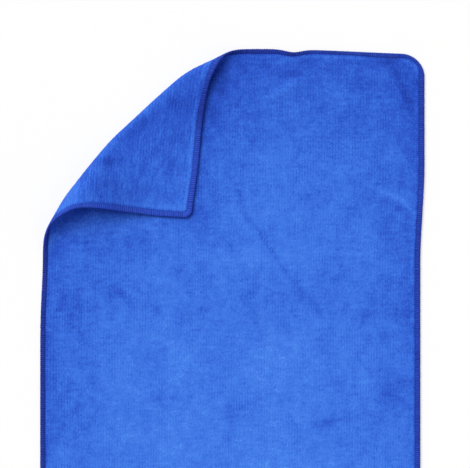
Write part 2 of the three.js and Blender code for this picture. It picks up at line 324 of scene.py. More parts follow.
def uneven_plan(across, down):
    """Plan points moved before the corner is turned, as the left and top hems are uneven: each hem
    stands out or is drawn in by a soft bump or smooth step along it, fading inwards."""
    from_left, from_top = 1 - ease(across, 0, 40), 1 - ease(down, 0, 40)
    left_in = 1.9 * bump(down - 168, 32) * (1 - ease(across, 0, 60))
    left_out = 2.9 * (1 - ease(down, 25, 80)) * from_left
    top_in = (2.4 * (1 - ease(across, 0, 45)) + rolled_under(across, **TOP_UNDER)) * from_top
    top_out = 1.8 * bump(across - 106, 22) * from_top
    left_in = left_in + rolled_under(down, **LEFT_UNDER) * from_left
    return across + left_in - left_out, down + top_in - top_out


def middle(across, down):
    """Plan points on the middle surface of the folded towel: the corner is turned, the creases
    raised, and the hems drooped, rippled and drawn in by soft bumps and smooth steps."""
    placed, below, rise, past_roll, past_flap = turned(*uneven_plan(across, down))
    rise = rise + np.where(past_roll > 0, lift(placed, below, past_roll), 0)
    rise = rise + np.where(past_flap > 0, flap_lift(placed, below, past_flap), 0)
    ripple = bump(across - 199, 9) * (1 - ease(down, 0, 26))
    droop = 4.7 * ease(across, 175, 330) * (1 - ease(down, 0, 120))
    drawn_in = 3.3 * ease(down, 90, 170) * (across / WIDTH) ** 2
    x = placed - drawn_in - WIDTH / 2
    y = LENGTH / 2 - below - droop - 2.2 * ripple
    z = CLOTH_HALF + rise + 1.6 * ripple
    return np.stack([x, y, z], -1)


def skin(across, down, height):
    """Points at a height over the middle surface, square to it: its normal is the cross product of
    its slopes to the right and towards the top hem."""
    step = 0.05
    right = middle(across + step, down) - middle(across - step, down)
    upward = middle(across, down - step) - middle(across, down + step)
    normal = np.cross(right, upward)
    normal /= np.linalg.norm(normal, axis=-1, keepdims=True)
    return middle(across, down) + np.asarray(height)[..., None] * normal


def inset_of(across, down):
    """Distance in from the towel's outer edge: from the nearest hem, or from a corner's arc."""
    side = np.minimum(across, WIDTH - across)
    end = np.minimum(down, LENGTH - down)
    radius = np.where(across + down < WIDTH / 2, TURNED_RADIUS, PLAIN_RADIUS)
    in_corner = (side < radius) & (end < radius)
    return np.where(in_corner, radius - np.hypot(radius - side, radius - end), np.minimum(side, end))


def spread(across, down, side):
    """How far the pile is drawn outwards over the overlocking, across and down, by smooth steps near
    the hems. On the face it is most along the middle of the top hem and at the plain corner beside
    it, and none at the right hem. On the back it is where the turned hems are rolled under."""
    left, top = 1 - ease(across, 4, 16), 1 - ease(down, 4, 16)
    if side < 0:
        under = rolled_under(down, **LEFT_UNDER) + rolled_under(down, **LEFT_UNDER_ON_BACK)
        return -under * left, -rolled_under(across, **TOP_UNDER) * top
    corner = ease(across, WIDTH - 26, WIDTH - 6) * (1 - ease(down, 6, 26))
    upward = 0.7 + 0.9 * ease(across, 182, 222) * (1 - ease(across, 248, 272))
    low = ease(down, LENGTH - 16, LENGTH - 4)
    return 1.4 * corner - 0.4 * left, 0.7 * low - upward * top - 1.2 * corner


def pile_shade_and_painted_light(across, down):
    """Shade of the pile, 0 dark to 1 light: its drift over the towel, lighter towards the lower hem;
    painted shade beside the flap and near the roll, painted highlights on the roll and by the hems;
    then the patches and creases of whichever layer the point is on, which hold painted shade too."""
    placed, below, _, past_roll, past_flap = turned(*uneven_plan(across, down))
    inset = inset_of(across, down)
    beside = outside_flap(placed, below)
    lower = 0.38 + 0.22 * ease(below, -20, 170) + 0.09 * ease(below, 190, 300)
    lower = lower - 0.06 * ease(placed, 190, 300) - 0.10 * (1 - ease(inset, 4, 22))
    lower = lower - 0.14 * (1 - ease(placed, 20, 90)) * ease(below, 120, 200)
    # Painted shade: darker pile close round the flap's outline, where the flap shades the lower layer.
    lower = lower - 0.10 * bump(beside, 9) - 0.06 * bump(beside, 26)
    # Painted highlight: a lighter band on the pile's raised rim along the top hem and the right hem.
    rim = ease(across, 165, 225) * (1 - ease(across, 250, 268)) + 0.7 * ease(across, 277, 288)
    rim = rim * (1 - ease(down, 8, 30)) + 0.15 * ease(across, 260, 296)
    lower = lower + 0.20 * rim * bump(inset - RIM_INSET, 1.5)
    # The patches and creases hold brushed pile, painted shade and painted highlight.
    lower = lower - patch_sum(placed, below, LOWER_PATCHES)
    lower = lower - crease_sum(placed, below, LOWER_CREASES + LOWER_DENTS, "dark")
    # Painted light on the flap: painted shade near the roll, lighter towards the tip, and a painted
    # highlight on the roll itself.
    flap = 0.36 + 0.13 * ease(past_flap, 8, 60) + 0.12 * bump(past_flap + 1, 4)
    # Painted highlight on the raised pile inside the flap's hems.
    flap_rim = 0.16 * (1 - ease(across, 50, 105)) - 0.08 * ease(down, 20, 60)
    flap = flap + flap_rim * bump(inset - 6.6, 1.3)
    flap = flap - patch_sum(placed, below, FLAP_PATCHES)
    flap = flap - crease_sum(placed, below, FLAP_CREASES, "dark")
    return mix(flap, lower, ease(past_roll, -8, 4))


# ---------------------------------------------------------------- meshes
def make_piece(name, points, face_sets, material, normals=None, **values):
    """One smooth mesh from points in millimetres and arrays of faces, a row of corner numbers per
    face. `normals` are its points' own normals where it has them, and `values` become attributes of
    its points, numbers or vectors."""
    mesh = bpy.data.meshes.new(name)
    corners = np.concatenate([faces.ravel() for faces in face_sets])
    sizes = np.concatenate([np.full(len(faces), faces.shape[1]) for faces in face_sets])
    mesh.vertices.add(len(points))
    mesh.vertices.foreach_set("co", (points * METRES).astype(np.float32).ravel())
    mesh.loops.add(len(corners))
    mesh.loops.foreach_set("vertex_index", corners.astype(np.int32))
    mesh.polygons.add(len(sizes))
    mesh.polygons.foreach_set("loop_start", (np.cumsum(sizes) - sizes).astype(np.int32))
    mesh.update(calc_edges=True)
    mesh.shade_smooth()
    if normals is not None:
        mesh.normals_split_custom_set_from_vertices(normals)
    for label, value in values.items():
        kind, field = ("FLOAT_VECTOR", "vector") if value.ndim == 2 else ("FLOAT", "value")
        attribute = mesh.attributes.new(label, kind, "POINT")
        attribute.data.foreach_set(field, value.astype(np.float32).ravel())
    mesh.materials.append(material)
    piece = bpy.data.objects.new(name, mesh)
    bpy.context.scene.collection.objects.link(piece)
    return piece


def grid_normals(points):
    """Unit normals of a grid of points: the cross product of its slopes down its rows and along
    them."""
    normals = np.cross(np.gradient(points, axis=0), np.gradient(points, axis=1))
    return normals / np.linalg.norm(normals, axis=-1, keepdims=True)


def bake_map(piece, places):
    """Gives a piece the map its finish is baked through, from a place in the unit square for each
    point."""
    mesh = piece.data
    corner = np.empty(len(mesh.loops), np.int32)
    mesh.loops.foreach_get("vertex_index", corner)
    layer = mesh.uv_layers.new(name="OFBake")
    layer.uv.foreach_set("vector", places[corner].astype(np.float32).ravel())


def slab_faces(outer, inner):
    """Faces of a closed slab between an outer grid of points and an inner one with as many rows and
    fewer columns: two skins of quads, two side walls, and an end wall's faces that each join one
    inner stretch to its several outer ones."""
    ratio = (outer.shape[1] - 1) // (inner.shape[1] - 1)
    ids = np.arange(outer.size // 3).reshape(outer.shape[:2])
    under = ids.size + np.arange(inner.size // 3).reshape(inner.shape[:2])

    def quads(a, b, c, d):
        """One face for each place in four equal arrays of point numbers."""
        return np.stack([a.ravel(), b.ravel(), c.ravel(), d.ravel()], -1)

    skins = [
        quads(ids[:-1, :-1], ids[1:, :-1], ids[1:, 1:], ids[:-1, 1:]),
        quads(under[:-1, :-1], under[:-1, 1:], under[1:, 1:], under[1:, :-1]),
        quads(ids[1:, 0], ids[:-1, 0], under[:-1, 0], under[1:, 0]),
        quads(ids[:-1, -1], ids[1:, -1], under[1:, -1], under[:-1, -1]),
    ]
    steps = np.arange(inner.shape[1] - 1)[:, None] * ratio + np.arange(ratio + 1)
    first = np.column_stack([ids[0][steps], under[0, 1:], under[0, :-1]])
    last = np.column_stack([ids[-1][steps][:, ::-1], under[-1, :-1], under[-1, 1:]])
    return [*skins, first, last]


def slab_map(outer, inner):
    """Places in the unit square for a slab's points: the outer skin fills nearly all of it, and the
    inner one a narrow strip beside it."""
    rows, columns = outer.shape[:2]
    few = inner.shape[1]
    down = np.linspace(0.01, 0.99, rows)[:, None]
    outer_places = np.stack(np.broadcast_arrays(np.linspace(0.01, 0.93, columns), down), -1)
    inner_places = np.stack(np.broadcast_arrays(np.linspace(0.945, 0.99, few), down), -1)
    return np.concatenate([outer_places.reshape(-1, 2), inner_places.reshape(-1, 2)])


def setback(reach, radius):
    """How far a corner's arc of that radius pulls a line's end back, `reach` in from its side."""
    inside = radius - np.clip(reach, 0, radius)
    return radius - np.sqrt(radius * radius - inside * inside)


# Halvings find a station's place, and rounds find where a line meets the fold.
HALVINGS, FOLD_ROUNDS = 32, 12


def crowd_width(radius, slant):
    """Half the width that stations crowd in about the fold: wider for a fuller roll, and by the
    slant at which the lines cross it."""
    return 3 + 1.8 * radius / slant


def crowded(start, end, middle_place, half_width, gain, count):
    """`count` stations from start to end on each line, crowded round a middle place: the sum
    x + gain w tanh((x - middle) / w) rises evenly, and is inverted by halving the interval."""

    def climbed(place):
        """The sum at a place."""
        return place + gain * half_width * np.tanh((place - middle_place) / half_width)

    share = np.linspace(0, 1, count)[:, None]
    wanted = mix(climbed(start), climbed(end), share)
    low = start + 0 * share
    high = end + 0 * share
    for _ in range(HALVINGS):
        half = (low + high) / 2
        beyond = climbed(half) > wanted
        low, high = np.where(beyond, low, half), np.where(beyond, half, high)
    return (low + high) / 2


def lengthwise_lines(across, inset, gain, count):
    """Plan points on lines that run down the towel at the given distances across, from the top
    hem's inset line to the lower one's, crowded at the fold."""
    left, right = across - inset, WIDTH - inset - across
    turned_arc, plain_arc = TURNED_RADIUS - inset, PLAIN_RADIUS - inset
    start = inset + np.maximum(setback(left, turned_arc), setback(right, plain_arc))
    end = LENGTH - inset - np.maximum(setback(left, plain_arc), setback(right, plain_arc))
    place = np.zeros_like(across)
    for _ in range(FOLD_ROUNDS):
        fold, radius = fold_at(across * COS - place * SIN)
        place = (fold - across * SIN) / COS
    down = crowded(start, end, place, crowd_width(radius, COS), gain, count)
    return np.broadcast_to(across, down.shape), down


def crosswise_lines(down, inset, gain, count):
    """The same for lines that run across the towel at the given distances down."""
    top, bottom = down - inset, LENGTH - inset - down
    turned_arc, plain_arc = TURNED_RADIUS - inset, PLAIN_RADIUS - inset
    start = inset + np.maximum(setback(top, turned_arc), setback(bottom, plain_arc))
    end = WIDTH - inset - np.maximum(setback(top, plain_arc), setback(bottom, plain_arc))
    place = np.zeros_like(down)
    for _ in range(FOLD_ROUNDS):
        fold, radius = fold_at(place * COS - down * SIN)
        place = (fold - down * COS) / SIN
    across = crowded(start, end, place, crowd_width(radius, SIN), gain, count)
    return across, np.broadcast_to(down, across.shape)


# ---------------------------------------------------------------- node helpers
def linear(red, green, blue):
    """A colour written as in a paint program, 0 to 255, as the light that it sends back."""
    share = np.array([red, green, blue]) / 255
    light = np.where(share <= 0.04045, share / 12.92, ((share + 0.055) / 1.055) ** 2.4)
    return (*light.tolist(), 1.0)


class Tree:
    """A node tree under construction: add() makes a node, sets its values and links its inputs."""

    def __init__(self, tree):
        """Starts on an empty tree."""
        self.tree = tree
        self.made = 0

    def add(self, kind, inputs=None, **settings):
        """A shader node of a kind, with its inputs by label or number and its settings by name."""
        node = self.tree.nodes.new("ShaderNode" + kind)
        node.location = (200 * (self.made % 12), -300 * (self.made // 12))
        self.made += 1
        for label, value in settings.items():
            setattr(node, label, value)
        for label, value in (inputs or {}).items():
            socket = node.inputs[label]
            if isinstance(value, bpy.types.NodeSocket):
                self.tree.links.new(value, socket)
            else:
                socket.default_value = value
        return node

    def math(self, operation, first, second, clamp=False):
        """The result of a sum on two numbers or outputs."""
        return self.add("Math", {0: first, 1: second}, operation=operation, use_clamp=clamp).outputs[0]

    def noise(self, place, scale, detail, roughness=0.55):
        """Noise centred on zero, at `scale` cells a millimetre of its place."""
        made = self.add("TexNoise", {
            "Vector": place, "Scale": scale, "Detail": detail, "Roughness": roughness,
        }, noise_dimensions="3D")
        return self.math("SUBTRACT", made.outputs["Fac"], 0.5)

    def group(self, node_tree, inputs):
        """A node that stands for a shared group, its output taken."""
        return self.add("Group", inputs, node_tree=node_tree).outputs[0]

    def stretched(self, place, factors):
        """A place with its three parts times three factors."""
        return self.add("VectorMath", {0: place, 1: factors}, operation="MULTIPLY").outputs[0]

    def attribute(self, label, output="Vector"):
        """A value that the piece's points carry."""
        return self.add("Attribute", attribute_name=label).outputs[output]

    def relief(self, strength, distance, height):
        """The normal of a bump, its distance in metres."""
        return self.add("Bump", {
            "Strength": strength, "Distance": distance, "Height": height,
        }).outputs["Normal"]

    def shades(self, factor, *stops):
        """A colour ramp through (position, colour) stops."""
        ramp = self.add("ValToRGB", {"Fac": factor})
        while len(ramp.color_ramp.elements) < len(stops):
            ramp.color_ramp.elements.new(1)
        for element, (position, colour) in zip(ramp.color_ramp.elements, stops):
            element.position, element.color = position, colour
        return ramp.outputs["Color"]


def make_group(name, inputs, outputs):
    """An empty node group with number and vector sockets, and its input and output nodes."""
    group = bpy.data.node_groups.new(name, "ShaderNodeTree")
    for direction, sockets in (("INPUT", inputs), ("OUTPUT", outputs)):
        for label, kind in sockets.items():
            socket_type = "NodeSocketVector" if kind == "vector" else "NodeSocketFloat"
            group.interface.new_socket(name=label, in_out=direction, socket_type=socket_type)
    entry = group.nodes.new("NodeGroupInput")
    way_out = group.nodes.new("NodeGroupOutput")
    return group, Tree(group), entry.outputs, way_out.inputs


def make_mottle():
    """Mottled shade of brushed pile or thread: four sizes of noise, each with its own amount."""
    sizes = dict(Broad=(0.045, 3), Patchy=(0.15, 3), Tufted=(0.5, 2), Grainy=(1.0, 1))
    inputs = dict(Place="vector", **dict.fromkeys(sizes, "number"))
    group, tree, given, out = make_group("mottle", inputs, dict(Shade="number"))
    total = 0.0
    for label, (scale, detail) in sizes.items():
        part = tree.math("MULTIPLY", tree.noise(given["Place"], scale, detail), given[label])
        total = tree.math("ADD", part, total)
    tree.tree.links.new(total, out["Shade"])
    return group


def make_fibres():
    """Height of fine fibres: two sizes of noise drawn out along the fibres' run."""
    group, tree, given, out = make_group("fibres", dict(Place="vector"), dict(Height="number"))
    coarse = tree.noise(given["Place"], 1.3, 2)
    fine = tree.noise(tree.stretched(given["Place"], (1, 0.35, 1)), 4.0, 2)
    height = tree.math("ADD", coarse, tree.math("MULTIPLY", fine, 0.6))
    tree.tree.links.new(height, out["Height"])
    return group


def make_loops():
    """Height of the pile's small loops, centred on zero: highest over scattered points and falling
    with the distance from the nearest of them."""
    group, tree, given, out = make_group("loops", dict(Place="vector"), dict(Height="number"))
    cells = tree.add("TexVoronoi", {"Vector": given["Place"], "Scale": 1.1, "Randomness": 0.8},
                     voronoi_dimensions="3D", feature="F1")
    height = tree.math("SUBTRACT", 0.5, cells.outputs["Distance"])
    tree.tree.links.new(height, out["Height"])
    return group


MOTTLE, FIBRES, LOOPS = make_mottle(), make_fibres(), make_loops()


def new_material(name):
    """An empty material and its tree."""
    material = bpy.data.materials.new(name)
    material.use_nodes = True
    material.node_tree.nodes.clear()
    return material, Tree(material.node_tree)


def finish_material(tree, colour, normal, **numbers):
    """The shader itself, with its constant numbers on its own sockets."""
    shader = tree.add("BsdfPrincipled", {"Base Color": colour, "Normal": normal, **numbers})
    tree.add("OutputMaterial", {"Surface": shader.outputs["BSDF"]})


STROKE_TURN, STROKE_SCALE = (0, 0, np.radians(24)), (0.3, 1.3, 1.0)
# The second and third gains paint shade into the pile's colour: in the ribs' valleys, with a painted
# highlight on their crests, and between its small loops.
STROKE_GAIN, RIB_PAINTED_SHADE_GAIN, LOOP_PAINTED_SHADE_GAIN, LOOP_HEIGHT = 0.38, 0.21, 0.22, 1.6
TERRY_STOPS = (
    (0.0, linear(31, 67, 176)),
    (0.3, linear(45, 90, 207)),
    (0.55, linear(59, 114, 227)),
    (0.8, linear(71, 130, 238)),
    (1.0, linear(88, 151, 247)),
)


def terry(name, along_ribs):
    """Brushed microfibre pile. Its shade is the one its points carry plus mottle, strokes of the
    brush, painted shade between the small loops and a little painted shade and highlight for the ribs'
    valleys and crests, and picks the colour. Fine fibres and the loops make the bump. Both are drawn
    out by `along_ribs`."""
    material, tree = new_material(name)
    place = tree.attribute("plan")
    parts = tree.add("SeparateXYZ", {0: tree.attribute("pile")}).outputs
    drawn_out = tree.stretched(place, along_ribs)
    mottle = tree.group(MOTTLE, dict(Place=drawn_out, Broad=0.4, Patchy=0.5, Tufted=0.36, Grainy=0.4))
    strokes = tree.add("Mapping", {"Vector": place, "Rotation": STROKE_TURN, "Scale": STROKE_SCALE})
    brushed = tree.math("MULTIPLY", tree.noise(strokes.outputs["Vector"], 0.3, 2), STROKE_GAIN)
    shade = tree.math("ADD", tree.math("ADD", parts["X"], mottle), brushed)
    # Painted shade in the ribs' valleys and painted highlight on their crests.
    crest = tree.math("MULTIPLY", parts["Y"], RIB_PAINTED_SHADE_GAIN)
    loops = tree.group(LOOPS, dict(Place=drawn_out))
    # Painted shade between the small loops.
    shade = tree.math("ADD", shade, tree.math("MULTIPLY", loops, LOOP_PAINTED_SHADE_GAIN))
    colour = tree.shades(tree.math("ADD", shade, crest, clamp=True), *TERRY_STOPS)
    fibres = tree.group(FIBRES, dict(Place=drawn_out))
    height = tree.math("ADD", fibres, tree.math("MULTIPLY", loops, LOOP_HEIGHT))
    normal = tree.relief(0.8, 0.00024, height)
    finish_material(
        tree, colour, normal,
        **{"Roughness": 0.92, "Specular IOR Level": 0.12, "Sheen Weight": 0.25,
           "Sheen Roughness": 0.4, "Sheen Tint": linear(120, 170, 255)},
    )
    return material


TERRY_FACE = terry("terry_face", (1.0, 0.6, 1.0))
TERRY_BACK = terry("terry_back", (0.6, 1.0, 1.0))


def knit():
    """The knitted ground under the pile: darker, mottled and finely fibrous."""
    material, tree = new_material("knitted_ground")
    place = tree.attribute("plan")
    mottle = tree.group(MOTTLE, dict(Place=place, Broad=0.4, Patchy=0.3, Tufted=0.5, Grainy=0.3))
    shade = tree.math("ADD", mottle, 0.4, clamp=True)
    colour = tree.shades(shade, (0.0, linear(26, 52, 146)), (1.0, linear(48, 92, 205)))
    fibres = tree.group(FIBRES, dict(Place=place))
    normal = tree.relief(0.6, 0.0002, fibres)
    finish_material(tree, colour, normal,
                    **{"Roughness": 0.9, "Specular IOR Level": 0.2})
    return material


def thread(name, dark, middling, light):
    """Textured edging thread: its shade is its own tone, varied from stitch to stitch and along the
    hem, and fine fibres make the bump."""
    material, tree = new_material(name)
    place = tree.attribute("plan")
    tone = tree.attribute("tone", "Fac")
    mottle = tree.group(MOTTLE, dict(Place=place, Broad=0.5, Patchy=0.4, Tufted=0.3, Grainy=0.3))
    shade = tree.math("ADD", mottle, tone, clamp=True)
    colour = tree.shades(shade, (0.0, dark), (0.5, middling), (1.0, light))
    fibres = tree.group(FIBRES, dict(Place=tree.stretched(place, (2, 2, 2))))
    normal = tree.relief(0.6, 0.0001, fibres)
    finish_material(tree, colour, normal,
                    **{"Roughness": 0.7, "Specular IOR Level": 0.12, "Sheen Weight": 0.06,
                       "Sheen Roughness": 0.4, "Sheen Tint": linear(90, 120, 255)})
    return material


KNIT = knit()
THREAD = thread(
    "edge_thread", linear(20, 40, 128), linear(36, 62, 168), linear(54, 90, 208),
)
THREAD_SHADOW = thread(
    "edge_underlay", linear(16, 30, 104), linear(26, 46, 136), linear(34, 66, 178),
)

# ---------------------------------------------------------------- the cloth
# Heights are from the middle surface. The back's pile is pressed lower than the face's.
GROUND_HALF, GROUND_INSET = 0.5, 0.9
PILE_INSET = 4.1
RIB_PITCH = 2.2
PILE_INNER, PILE_ROOT, PILE_BASE = 0.15, 0.56, 0.74
RIB_RIDGE, BACK_PRESSED = 0.20, 0.09
CRESTS = np.array([0.0, 0.78, 1.0, 0.78])
TWO_RIBS = 2 * len(CRESTS)


def ground():
    """The knitted ground: a closed slab half a millimetre either side of the middle surface."""
    columns = np.linspace(GROUND_INSET, WIDTH - GROUND_INSET, 77)
    across, down = lengthwise_lines(columns, GROUND_INSET, 3.0, 170)
    upper, lower = (skin(across, down, np.full(down.shape, h)) for h in (GROUND_HALF, -GROUND_HALF))
    points = np.concatenate([upper.reshape(-1, 3), lower.reshape(-1, 3)])
    plan = np.stack([across, down, 0 * down], -1).reshape(-1, 3)
    return make_piece("knitted_ground", points, slab_faces(upper, lower), KNIT,
                      plan=np.concatenate([plan, plan]))


def rib_strength(across, down, seed):
    """How clearly the ribs show, from 0 to 1.2, varying from place to place."""
    strength = 0.4 + 0.6 * uneven(across, down, 13, seed) + 0.4 * uneven(across, down, 4, seed + 1)
    return np.clip(strength, 0, 1.2)


def tufts(across, down, seed):
    """How far the pile's tufts stand above or below its even height: small and larger unevenness."""
    return 0.07 * uneven(across, down, 2.1, seed) + 0.05 * uneven(across, down, 5.5, seed + 1)


def pile_pieces(across, down, side, seed, material, **pieces):
    """Pile over one side of the ground: a base height, a ridge on each rib and uneven tufts, pressed
    down towards the overlocking. Lines run along the ribs, four to a rib, and the inner side has a
    line every two ribs. Each piece is named with its first station and the one past its last."""
    lines = across.shape[1]
    crest = np.broadcast_to(CRESTS[np.arange(lines) % len(CRESTS)], across.shape)
    inset = inset_of(across, down)
    strength = rib_strength(across, down, seed)
    height = PILE_BASE + RIB_RIDGE * crest * strength + tufts(across, down, seed + 2)
    if side < 0:
        height = height - BACK_PRESSED
    else:
        placed, below, _, past_roll, _ = turned(*uneven_plan(across, down))
        dent = crease_sum(placed, below, LOWER_DENTS, "height")
        height = height - np.where(past_roll > 0, dent, 0)
    edge = ease(inset, PILE_INSET, PILE_INSET + 1.3)
    height = mix(PILE_ROOT, height, edge) + 0.12 * bump(inset - RIM_INSET, 1.2)
    # Painted shade: the pile is painted darker in the groove beside the overlocking.
    shade = pile_shade_and_painted_light(across, down) - 0.2 * (1 - ease(inset, PILE_INSET, PILE_INSET + 2.4))
    out_across, out_down = spread(across, down, side)
    across, down = across + out_across, down + out_down
    outer = skin(across, down, side * height)
    few = np.s_[:, ::TWO_RIBS]
    inner = skin(across[few], down[few], np.full(down[few].shape, side * PILE_INNER))
    plan = np.stack([across, down, np.full(across.shape, 40.0 * side)], -1)
    pile = np.stack([shade, (crest - CRESTS.mean()) * strength * edge, 0 * edge], -1)
    skins = outer, inner
    normals = grid_normals(outer), -grid_normals(inner)
    plans, piles = (plan, plan[few]), (pile, pile[few])
    made = []
    for name, (first, last) in pieces.items():
        points, directions, places, shades = (
            np.concatenate([part[first:last].reshape(-1, 3) for part in pair])
            for pair in (skins, normals, plans, piles)
        )
        cut = [part[first:last] for part in skins]
        piece = make_piece(name, points, slab_faces(*cut), material, directions,
                           plan=places, pile=shades)
        bake_map(piece, slab_map(*cut))
        made.append(piece)
    return made


def face_pile():
    """Pile on the face: ribs run down the towel, in an upper and a lower piece."""
    pairs = round((WIDTH - 2 * PILE_INSET) / (2 * RIB_PITCH))
    columns = np.linspace(PILE_INSET, WIDTH - PILE_INSET, TWO_RIBS * pairs + 1)
    across, down = lengthwise_lines(columns, PILE_INSET, 2.6, 252)
    return pile_pieces(across, down, 1, 100, TERRY_FACE,
                       face_pile_upper=(0, 164), face_pile_lower=(163, 252))


def back_pile():
    """Pile on the back: ribs run across the towel, in an upper piece that the fold crosses and a
    lower one with fewer stations."""
    pairs = round((LENGTH - 2 * PILE_INSET) / (2 * RIB_PITCH))
    rows = np.linspace(PILE_INSET, LENGTH - PILE_INSET, TWO_RIBS * pairs + 1)
    cut = TWO_RIBS * 44
    across, down = crosswise_lines(rows[:cut + 1], PILE_INSET, 3.0, 130)
    made = pile_pieces(across, down, -1, 200, TERRY_BACK, back_pile_upper=(0, 130))
    across, down = crosswise_lines(rows[cut:], PILE_INSET, 0.0, 44)
    return made + pile_pieces(across, down, -1, 200, TERRY_BACK, back_pile_lower=(0, 44))


# ---------------------------------------------------------------- the overlocked edge
HEM_INSET, FACE_REACH, BACK_REACH = 0.28, 4.3, 4.5
BAND_MIDDLE, BAND_HALF, SQUARISH = 0.14, 0.84, 0.62
STITCH, NEEDLE_STITCH = 1.55, 2.3
CORNER_CENTRES = np.array([
    (TURNED_RADIUS, TURNED_RADIUS),
    (WIDTH - PLAIN_RADIUS, PLAIN_RADIUS),
    (WIDTH - PLAIN_RADIUS, LENGTH - PLAIN_RADIUS),
    (PLAIN_RADIUS, LENGTH - PLAIN_RADIUS),
])
CORNER_RADII = np.array([TURNED_RADIUS, PLAIN_RADIUS, PLAIN_RADIUS, PLAIN_RADIUS])


def corner_point(corner, angle):
    """The outline's point in an outward direction from a corner's centre."""
    direction = np.stack([np.cos(angle), np.sin(angle)], -1)
    return CORNER_CENTRES[corner] + CORNER_RADII[corner][..., None] * direction


CORNERS = np.arange(4)
QUARTER_ENDS = HALF_TURN + (CORNERS + 1) * HALF_TURN / 2
HEM_RUNS = np.linalg.norm(
    corner_point((CORNERS + 1) % 4, QUARTER_ENDS) - corner_point(CORNERS, QUARTER_ENDS), axis=-1
)
STRETCHES = np.stack([CORNER_RADII * HALF_TURN / 2, HEM_RUNS], -1).ravel()
STRETCH_STARTS = np.cumsum(STRETCHES) - STRETCHES
HEM_LENGTH = STRETCHES.sum()


def hem(walked):
    """Points of the outline and their outward directions at distances walked round it: an arc and
    a straight hem by turns, from the left of the turned corner."""
    walked = np.mod(walked, HEM_LENGTH)
    stretch = np.searchsorted(STRETCH_STARTS, walked, side="right") - 1
    share = (walked - STRETCH_STARTS[stretch]) / STRETCHES[stretch]
    corner, straight = stretch // 2, stretch % 2 == 1
    angle = HALF_TURN + (corner + np.where(straight, 1, share)) * HALF_TURN / 2
    start = corner_point(corner, angle)
    end = corner_point((corner + 1) % 4, angle)
    point = np.where(straight[..., None], mix(start, end, share[..., None]), start)
    return point[..., 0], point[..., 1], np.cos(angle), np.sin(angle)


def edge_point(walked, inset, height):
    """A point of the edge at a place along the hem, an inset from it and a height."""
    across, down, right, lower = hem(walked)
    return skin(across - inset * right, down - inset * lower, height)


def reach(walked, side):
    """How far in from the hem the overlocking shows on one side: less where the pile is drawn out
    over it, by as much of the pile's spread as runs outwards."""
    across, down, right, lower = hem(walked)
    out_across, out_down = spread(across - PILE_INSET * right, down - PILE_INSET * lower, side)
    full = FACE_REACH if side > 0 else BACK_REACH
    return full - out_across * right - out_down * lower


def section(turn, walked, proud):
    """Inset and height round the overlocking's section: a squarish oval from near the hem to its
    reach, which passes from the face's to the back's by a smooth step."""
    right, up = np.cos(turn), np.sin(turn)
    inner = mix(reach(walked, -1), reach(walked, 1), ease(up, -0.6, 0.6)) + proud
    share = 0.5 - 0.5 * np.sign(right) * np.abs(right) ** SQUARISH
    height = BAND_MIDDLE + (BAND_HALF + proud) * np.sign(up) * np.abs(up) ** SQUARISH
    return mix(HEM_INSET - proud, inner, share), height


def thread_tone(walked, turn):
    """How light the thread is, 0 to 1, at a turn round its section: darker at the band's two sides
    than along its middle, as painted shade where the band turns away. It is lightest on the back,
    save along the upper part of the turned top hem, where it is painted darker as painted shade, and
    on the face it is lighter at the right and top hems than at the left and lower ones, save where
    the top hem runs on from the fold."""
    across, _, right, lower = hem(walked)
    # Painted shade on the back along the upper part of the turned top hem.
    back = 0.95 - 0.2 * ease(across, 60, 110) - 0.36 * bump(across - 84, 18)
    beside_fold = ease(across, 120, 150) * (1 - ease(across, 204, 218)) * np.clip(-lower, 0, 1)
    face = 0.60 + 0.12 * right - 0.08 * lower - 0.30 * beside_fold
    # Painted shade: the band's two sides are darker where they turn away.
    return mix(back, face, ease(np.sin(turn), -0.5, 0.5)) - 0.3 * np.cos(turn) ** 4


def ring_faces(rings, around, forward):
    """Quads of a tube that closes on itself, `rings` rings of `around` points."""
    ids = np.arange(rings * around).reshape(rings, around)
    ahead, beside = np.roll(ids, -1, 0), np.roll(ids, -1, 1)
    both = np.roll(ahead, -1, 1)
    order = (ids, ahead, both, beside) if forward else (ids, beside, both, ahead)
    return np.stack([part.ravel() for part in order], -1)


def underlay():
    """The thread's solid bed: the oval section carried round the edge."""
    rings, around = 860, 14
    walked = np.arange(rings)[:, None] * HEM_LENGTH / rings + np.zeros(around)
    turn = np.arange(around) * 2 * HALF_TURN / around + np.zeros((rings, 1))
    inset, height = section(turn, walked, 0.0)
    points = edge_point(walked, inset, height).reshape(-1, 3)
    plan = np.stack([walked, 4 * turn, 0 * turn], -1).reshape(-1, 3)
    return make_piece("edge_underlay", points, [ring_faces(rings, around, False)], THREAD_SHADOW,
                      plan=plan, tone=thread_tone(walked, turn).ravel())


def thread_tube(name, path, side, wide, high, around, material, place, tone):
    """A closed flattened thread along a path. At each step its section is an oval, `wide` along the
    hem and `high` towards `side`, a direction that is made square to the path."""
    ahead = np.roll(path, -1, 0) - np.roll(path, 1, 0)
    ahead /= np.linalg.norm(ahead, axis=-1, keepdims=True)
    up = side - (side * ahead).sum(-1, keepdims=True) * ahead
    up /= np.linalg.norm(up, axis=-1, keepdims=True)
    across = np.cross(ahead, up)
    turn = np.arange(around) * 2 * HALF_TURN / around
    sideways = wide * np.cos(turn)[:, None] * across[:, None]
    upwards = high * np.sin(turn)[:, None] * up[:, None]
    points = path[:, None] + sideways + upwards
    return make_piece(name, points.reshape(-1, 3), [ring_faces(len(path), around, True)],
                      material, plan=np.repeat(place, around, 0), tone=np.repeat(tone, around))


